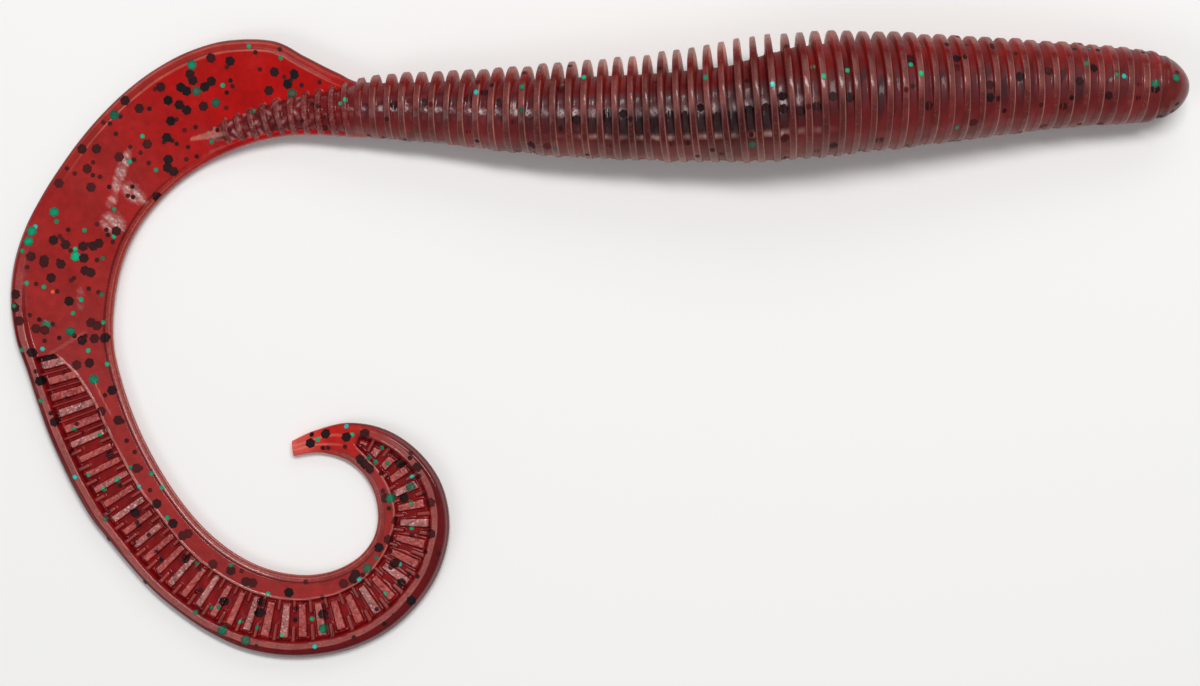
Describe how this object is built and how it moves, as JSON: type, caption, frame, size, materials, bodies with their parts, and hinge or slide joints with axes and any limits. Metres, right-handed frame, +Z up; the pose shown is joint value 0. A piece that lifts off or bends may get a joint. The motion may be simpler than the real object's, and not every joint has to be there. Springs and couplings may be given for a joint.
{
  "type": "soft plastic fishing worm",
  "caption": "Ringed soft plastic fishing worm with a tapered round body, a smooth web and a long flat ribbon tail with a ladder of cross ribs, curled round into a hook; flakes sealed inside.",
  "frame": {"origin": "middle of the footprint, on the surface that the worm lies on", "axes": "+X along the body towards the nose, +Y across, from the curled tail towards the body, +Z up, away from the surface; the worm lies on its side with its tail flat"},
  "size_m": [0.158, 0.0834, 0.0171],
  "materials": {
    "soft_plastic": "soft, slightly oily translucent dark red plastisol, semi-gloss",
    "black_flake": "black six-sided glitter film",
    "green_flake": "green-blue six-sided metallic glitter film",
    "red_flake": "orange-red glitter film"
  },
  "bodies": {
    "head": {"body_head": "soft_plastic", "black_flakes_head": "black_flake", "green_flakes_head": "green_flake"},
    "shoulder": {"body_shoulder": "soft_plastic", "black_flakes_shoulder": "black_flake", "green_flakes_shoulder": "green_flake"},
    "belly": {"body_belly": "soft_plastic", "black_flakes_belly": "black_flake", "green_flakes_belly": "green_flake"},
    "waist": {"body_waist": "soft_plastic", "black_flakes_waist": "black_flake", "green_flakes_waist": "green_flake"},
    "hip": {"body_hip": "soft_plastic", "black_flakes_hip": "black_flake", "green_flakes_hip": "green_flake"},
    "neck": {"body_neck": "soft_plastic", "black_flakes_neck": "black_flake", "green_flakes_neck": "green_flake"},
    "fan": {"tail_fan": "soft_plastic", "black_flakes_fan": "black_flake", "green_flakes_fan": "green_flake"},
    "web": {"tail_web": "soft_plastic", "black_flakes_web": "black_flake", "green_flakes_web": "green_flake"},
    "paddle": {"tail_paddle": "soft_plastic", "black_flakes_paddle": "black_flake", "green_flakes_paddle": "green_flake", "red_flake_paddle": "red_flake"},
    "ribbon_1": {"tail_ribbon_1": "soft_plastic", "black_flakes_ribbon_1": "black_flake", "green_flakes_ribbon_1": "green_flake"},
    "ribbon_2": {"tail_ribbon_2": "soft_plastic", "black_flakes_ribbon_2": "black_flake", "green_flakes_ribbon_2": "green_flake"},
    "ribbon_3": {"tail_ribbon_3": "soft_plastic", "black_flakes_ribbon_3": "black_flake", "green_flakes_ribbon_3": "green_flake"},
    "bend": {"tail_bend": "soft_plastic", "black_flakes_bend": "black_flake", "green_flakes_bend": "green_flake"},
    "curl": {"tail_curl": "soft_plastic", "black_flakes_curl": "black_flake", "green_flakes_curl": "green_flake"},
    "tip": {"tail_tip": "soft_plastic", "black_flakes_tip": "black_flake", "green_flakes_tip": "green_flake"}
  },
  "joints": [
    {"name": "shoulder_bend", "type": "hinge", "parent": "head", "child": "shoulder", "pos_m": [0.0649, 0.03492, 0.00568], "axis": [0, 0, 1], "range_deg": [-20, 20], "stiffness_Nm_per_rad": 0.006},
    {"name": "belly_bend", "type": "hinge", "parent": "shoulder", "child": "belly", "pos_m": [0.0477, 0.03433, 0.00713], "axis": [0, 0, 1], "range_deg": [-20, 20], "stiffness_Nm_per_rad": 0.006},
    {"name": "waist_bend", "type": "hinge", "parent": "belly", "child": "waist", "pos_m": [0.0292, 0.03334, 0.00844], "axis": [0, 0, 1], "range_deg": [-20, 20], "stiffness_Nm_per_rad": 0.006},
    {"name": "hip_bend", "type": "hinge", "parent": "waist", "child": "hip", "pos_m": [0.0093, 0.03187, 0.00737], "axis": [0, 0, 1], "range_deg": [-20, 20], "stiffness_Nm_per_rad": 0.005},
    {"name": "neck_bend", "type": "hinge", "parent": "hip", "child": "neck", "pos_m": [-0.0099, 0.03166, 0.00596], "axis": [0, 0, 1], "range_deg": [-22, 22], "stiffness_Nm_per_rad": 0.004},
    {"name": "tail_root_bend", "type": "hinge", "parent": "neck", "child": "fan", "pos_m": [-0.0265, 0.03219, 0.00464], "axis": [0, 0, 1], "range_deg": [-22, 22], "stiffness_Nm_per_rad": 0.003},
    {"name": "web_lift", "type": "hinge", "parent": "fan", "child": "web", "pos_m": [-0.04734, 0.03444, 0.00229], "axis": [-0.1266, 0.992, 0], "range_deg": [0, 28], "stiffness_Nm_per_rad": 0.001},
    {"name": "paddle_turn", "type": "hinge", "parent": "web", "child": "paddle", "pos_m": [-0.06569, 0.02224, 0.00095], "axis": [0, 0, -1], "range_deg": [-8, 16], "stiffness_Nm_per_rad": 0.0025},
    {"name": "ribbon_lift", "type": "hinge", "parent": "paddle", "child": "ribbon_1", "pos_m": [-0.07138, 0.00031, 0.00122], "axis": [-0.9745, -0.2242, 0], "range_deg": [0, 30], "stiffness_Nm_per_rad": 0.0005},
    {"name": "ribbon_turn", "type": "hinge", "parent": "ribbon_1", "child": "ribbon_2", "pos_m": [-0.06582, -0.0155, 0.00095], "axis": [0, 0, -1], "range_deg": [-10, 22], "stiffness_Nm_per_rad": 0.0015},
    {"name": "sweep_lift", "type": "hinge", "parent": "ribbon_2", "child": "ribbon_3", "pos_m": [-0.05396, -0.03061, 0.00122], "axis": [-0.6208, -0.784, 0], "range_deg": [0, 30], "stiffness_Nm_per_rad": 0.0004},
    {"name": "hook_turn", "type": "hinge", "parent": "ribbon_3", "child": "bend", "pos_m": [-0.04356, -0.03577, 0.00095], "axis": [0, 0, -1], "range_deg": [-10, 28], "stiffness_Nm_per_rad": 0.0012},
    {"name": "curl_turn", "type": "hinge", "parent": "bend", "child": "curl", "pos_m": [-0.02913, -0.03244, 0.00095], "axis": [0, 0, -1], "range_deg": [-10, 30], "stiffness_Nm_per_rad": 0.0008},
    {"name": "tip_lift", "type": "hinge", "parent": "curl", "child": "tip", "pos_m": [-0.02846, -0.01495, 0.00122], "axis": [0.6644, 0.7474, 0], "range_deg": [0, 35], "stiffness_Nm_per_rad": 0.0001}
  ]
}
